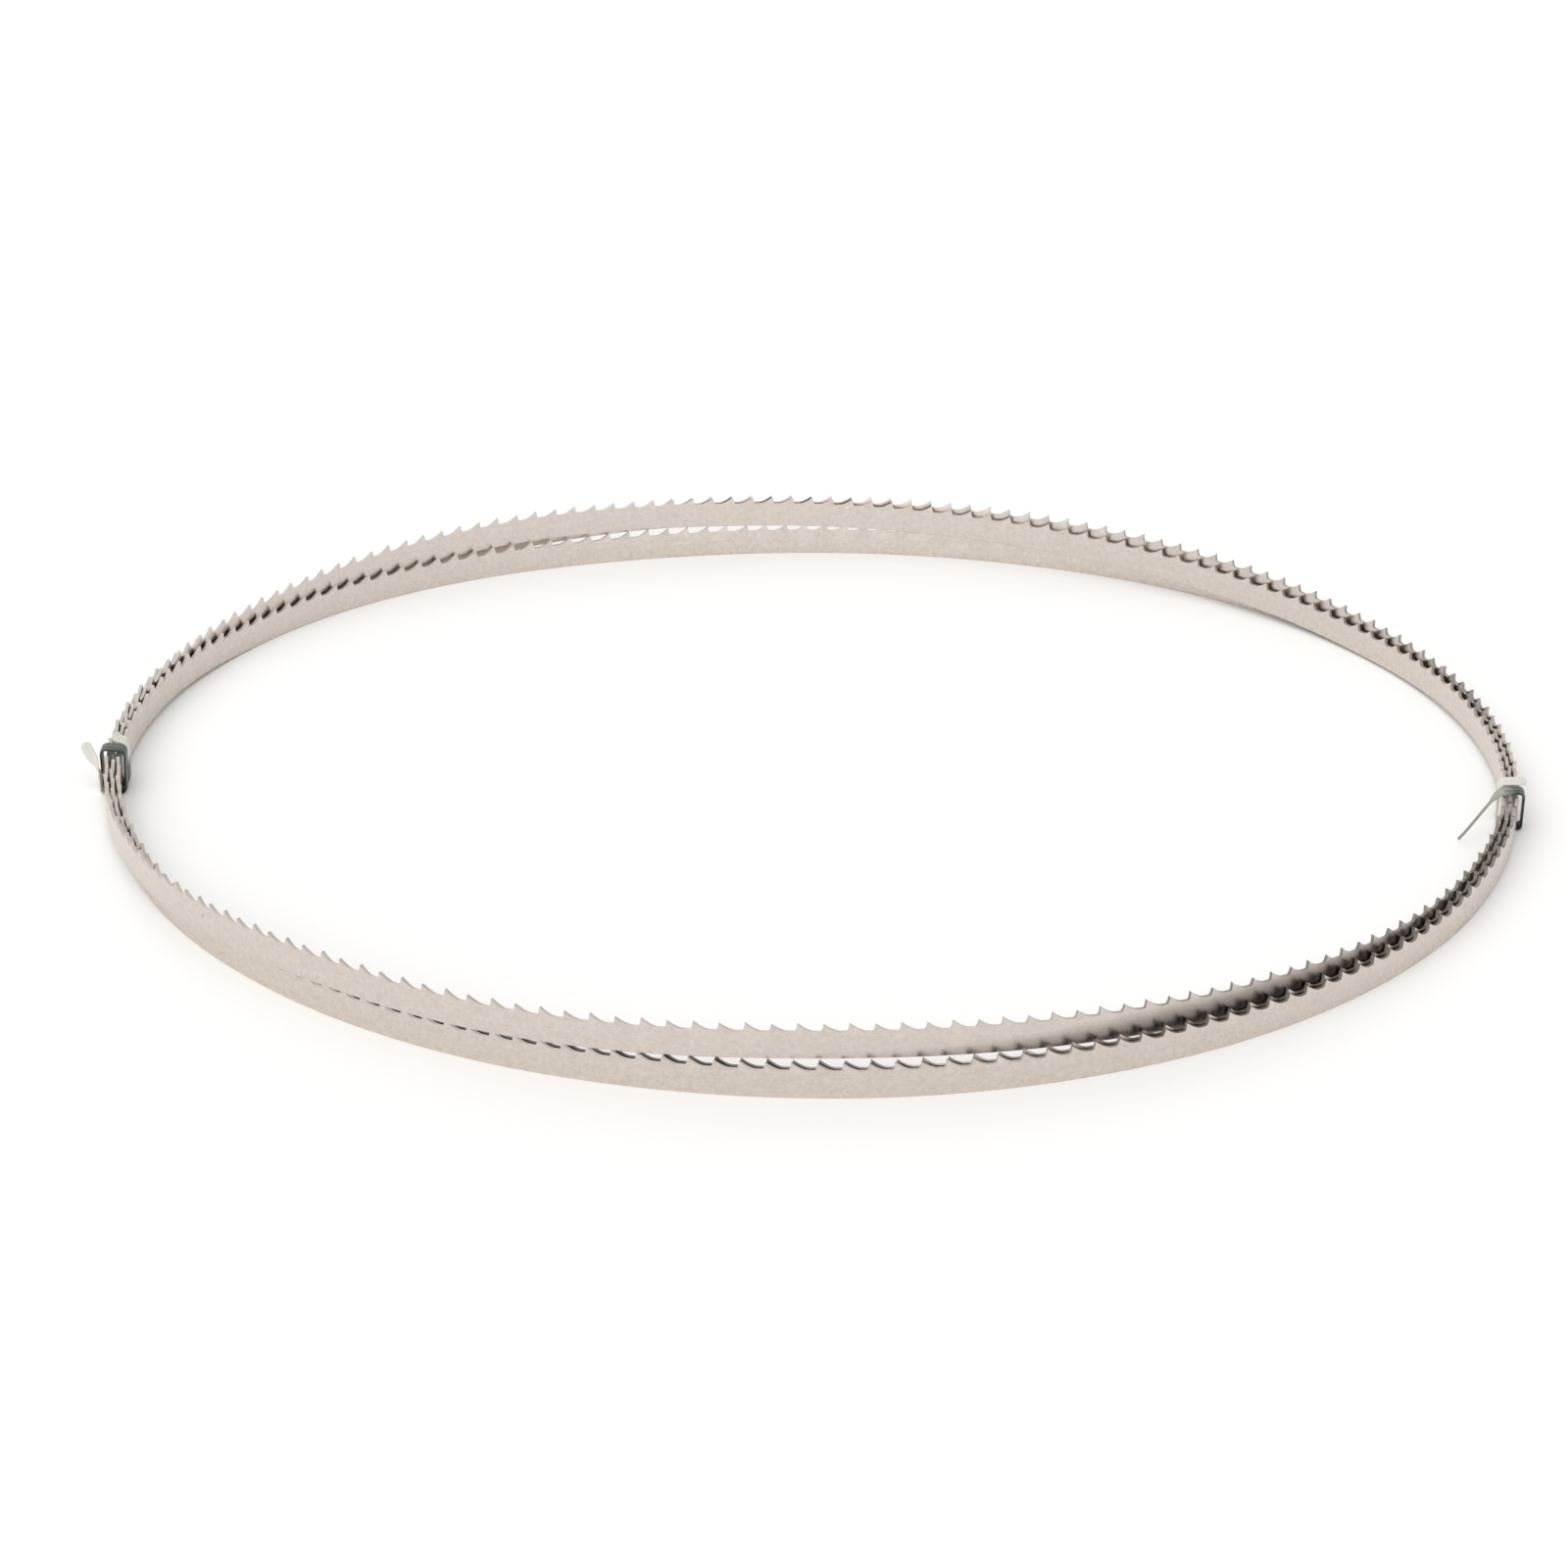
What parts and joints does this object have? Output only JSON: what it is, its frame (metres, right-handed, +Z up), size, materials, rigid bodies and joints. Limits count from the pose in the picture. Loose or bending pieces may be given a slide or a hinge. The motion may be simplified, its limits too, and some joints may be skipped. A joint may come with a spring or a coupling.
{
  "type": "band saw blade",
  "caption": "Narrow endless toothed steel band for a band saw, folded into loops that stand on the back edge and are held by a flat tie on each side.",
  "frame": {"origin": "centre of the outline's box at the floor that the back edge stands on", "axes": "+X from the left tie to the right tie, +Y to the back of the coil, +Z up, along the band's width towards the teeth"},
  "size_m": [0.2688, 0.2424, 0.013],
  "materials": {
    "steel": "satin",
    "tie": "gloss"
  },
  "bodies": {
    "root": {"blade": "steel", "tie_left": "tie", "tie_right": "tie"}
  },
  "joints": []
}
